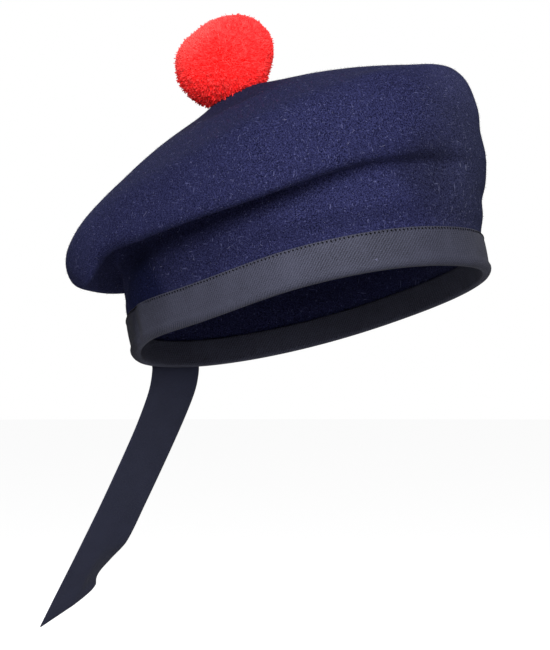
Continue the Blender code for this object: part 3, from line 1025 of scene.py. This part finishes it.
# Yarn pompom
pompomForm = {
    "width": 0.0545, "height": 0.0430,
    "flat": 0.12,                     # how much of it is pressed flat on the crown
    "pile": 0.0036, "coreSteps": 5,   # how deep the core lies in the strands, and how fine it is
    # where the ball is flatter or fuller: turn and rise in degrees, how wide, and how deep
    "lumps": (
        (137.6, 52, 38, 0.0042),
        (137.6, -35, 26, 0.0014),
        (317.6, 42, 24, -0.0012),
        (317.6, -15, 20, 0.0016),
        (230, 25, 26, 0.0016),
        (20, 15, 24, 0.0012),
    ),
    "uneven": ((0.0007, 3.1), (0.0005, 8.0)),   # height, and waves round the ball
    "strand": (0.00054, 0.00040, 0.0004),       # width at the root and the tip, and how far it bends
    # where strands grow: all over, in a ragged skirt over the felt, and a few stray ends
    "growths": {
        "yarnPompom": (
            {"density": 2.9e6, "seed": 4, "lean": 0.26, "widths": (0.8, 1.2), "lengths": (0.0030, 0.0038)},
            {"density": 8.0e5, "seed": 11, "lean": 0.50, "widths": (1.2, 1.9), "lengths": (0.0038, 0.0052),
             "below": 0.34},
        ),
        "yarnPile": (
            {"density": 3.0e6, "seed": 23, "lean": 0.34, "widths": (0.8, 1.2), "lengths": (0.0029, 0.0038)},
            {"density": 3.2e5, "seed": 17, "lean": 0.80, "widths": (1.0, 2.0), "lengths": (0.0036, 0.0047)},
            {"density": 2.4e4, "seed": 31, "lean": 0.80, "widths": (0.4, 0.8), "lengths": (0.0044, 0.0058)},
        ),
    },
}


def directionFrom(turnDegrees, riseDegrees):
    aside, rise = math.radians(turnDegrees), math.radians(riseDegrees)
    return Vector((-math.sin(aside) * math.cos(rise), -math.cos(aside) * math.cos(rise), math.sin(rise)))


def pompomPoint(direction, shrink):
    # the ball's surface in a direction from its middle, before it is set on the crown
    radius = pompomForm["width"] / 2 - shrink
    for turn, rise, wide, depth in pompomForm["lumps"]:
        apart = math.degrees(direction.angle(directionFrom(turn, rise)))
        radius -= depth * math.exp(-(apart / wide) ** 2)
    radius += sum(height * noise.noise(direction * waves) for height, waves in pompomForm["uneven"])
    return direction * radius


def makeStrandShape(width, tipWidth, bend):
    # one strand, a unit long, standing on the origin
    bm = bmesh.new()
    bmesh.ops.create_cone(bm, cap_ends=True, segments=fibreSides, radius1=width / 2, radius2=tipWidth / 2,
                          depth=1.0)
    bmesh.ops.translate(bm, vec=(0.0, 0.0, 0.5), verts=bm.verts)
    tipMark = bm.verts.layers.float.new("tip")
    for vert in bm.verts:
        vert[tipMark] = vert.co.z
        vert.co.x += bend * vert.co.z
    return meshFrom(bm, "strandShape")


def growStrands(name, ground, shape, look):
    # strands stand all over the ground mesh; the result is one plain mesh with a shade for each strand
    carrier, strand = addObject(name + "Ground", ground), addObject(name + "Shape", shape)
    tree = bpy.data.node_groups.new(name + "Growth", "GeometryNodeTree")
    for way in ("INPUT", "OUTPUT"):
        tree.interface.new_socket("Geometry", in_out=way, socket_type="NodeSocketGeometry")
    lean = look["lean"]

    def randomValue(kind, low, high, draw):
        node = addNode(tree, "FunctionNodeRandomValue", {"Seed": look["seed"] + draw}, data_type=kind)
        sockets = [s for s in node.inputs if s.enabled and s.name in ("Min", "Max")]
        sockets[0].default_value, sockets[1].default_value = low, high
        return next(s for s in node.outputs if s.enabled)

    scatter = addNode(tree, "GeometryNodeDistributePointsOnFaces", {
        "Mesh": fromNode(tree, "NodeGroupInput", "Geometry"),
        "Density": look["density"], "Seed": look["seed"],
    }, distribute_method="RANDOM").outputs
    leaned = fromNode(tree, "ShaderNodeVectorMath", "Vector", {
        0: scatter["Normal"], 1: randomValue("FLOAT_VECTOR", (-lean,) * 3, (lean,) * 3, 1)}, operation="ADD")
    aim = fromNode(tree, "FunctionNodeAlignRotationToVector", "Rotation", {"Vector": leaned}, axis="Z")
    spin = fromNode(tree, "ShaderNodeCombineXYZ", "Vector", {"Z": randomValue("FLOAT", 0.0, math.tau, 2)})
    spun = fromNode(tree, "FunctionNodeEulerToRotation", "Rotation", {"Euler": spin})
    feeds = {"Rotation": aim, "Rotate By": spun}
    turned = fromNode(tree, "FunctionNodeRotateRotation", "Rotation", feeds, rotation_space="LOCAL")
    wide, tall = randomValue("FLOAT", *look["widths"], 3), randomValue("FLOAT", *look["lengths"], 4)
    size = fromNode(tree, "ShaderNodeCombineXYZ", "Vector", {"X": wide, "Y": wide, "Z": tall})
    chosen = fromNode(tree, "GeometryNodeObjectInfo", "Geometry", {"Object": strand})
    planted = fromNode(tree, "GeometryNodeInstanceOnPoints", "Instances", {
        "Points": scatter["Points"], "Instance": chosen, "Rotation": turned, "Scale": size})
    shaded = fromNode(tree, "GeometryNodeStoreNamedAttribute", "Geometry", {
        "Geometry": planted, "Name": "shade", "Value": randomValue("FLOAT", 0.0, 1.0, 5),
    }, data_type="FLOAT", domain="INSTANCE")
    real = fromNode(tree, "GeometryNodeRealizeInstances", "Geometry", {"Geometry": shaded})
    addNode(tree, "NodeGroupOutput", {"Geometry": real})
    growth = carrier.modifiers.new("growth", "NODES")
    growth.node_group = tree
    depsgraph = bpy.context.evaluated_depsgraph_get()
    grown = bpy.data.meshes.new_from_object(carrier.evaluated_get(depsgraph))
    for thing in (carrier, strand):
        bpy.data.objects.remove(thing)
    return grown


def lowerPart(core, share):
    # the part of the ball's core below a share of its height
    bm = bmesh.new()
    bm.from_mesh(core)
    heights = [vert.co.z for vert in bm.verts]
    top = min(heights) + (max(heights) - min(heights)) * share
    bmesh.ops.delete(bm, geom=[vert for vert in bm.verts if vert.co.z > top], context="VERTS")
    return meshFrom(bm, "coreBelow")


def makePompom():
    form = pompomForm
    radius = form["width"] / 2
    halfHeight = form["height"] * (1 + form["flat"]) / 2
    middle = seatNormal * (form["height"] - halfHeight)
    squash = halfHeight / radius - 1

    def setOnCrown(point):
        placed = point + seatNormal * point.dot(seatNormal) * squash + middle
        return placed + seatNormal * max(0.0, headForm["gap"] - placed.dot(seatNormal))

    bm = bmesh.new()
    bmesh.ops.create_icosphere(bm, subdivisions=form["coreSteps"], radius=1.0)
    for vert in bm.verts:
        worldWay = wornTilt.to_3x3() @ vert.co.normalized()
        point = wornTilt.inverted().to_3x3() @ pompomPoint(worldWay, form["pile"])
        vert.co = setOnCrown(point) + crownMiddle
    core = wornMesh(bm, "pompomCore")
    for name, looks in form["growths"].items():
        joined = bmesh.new()
        if name == "yarnPompom":
            joined.from_mesh(core)
        for look in looks:
            strand = makeStrandShape(*form["strand"])
            joined.from_mesh(growStrands(name, lowerPart(core, look.get("below", 1.0)), strand, look))
        mesh = meshFrom(joined, name)
        addPiece(name, mesh, redYarn, ["pompom"])
        print(name + ":", len(mesh.polygons), "faces")


makePompom()
makeFibres(crown)

print("everything is made")
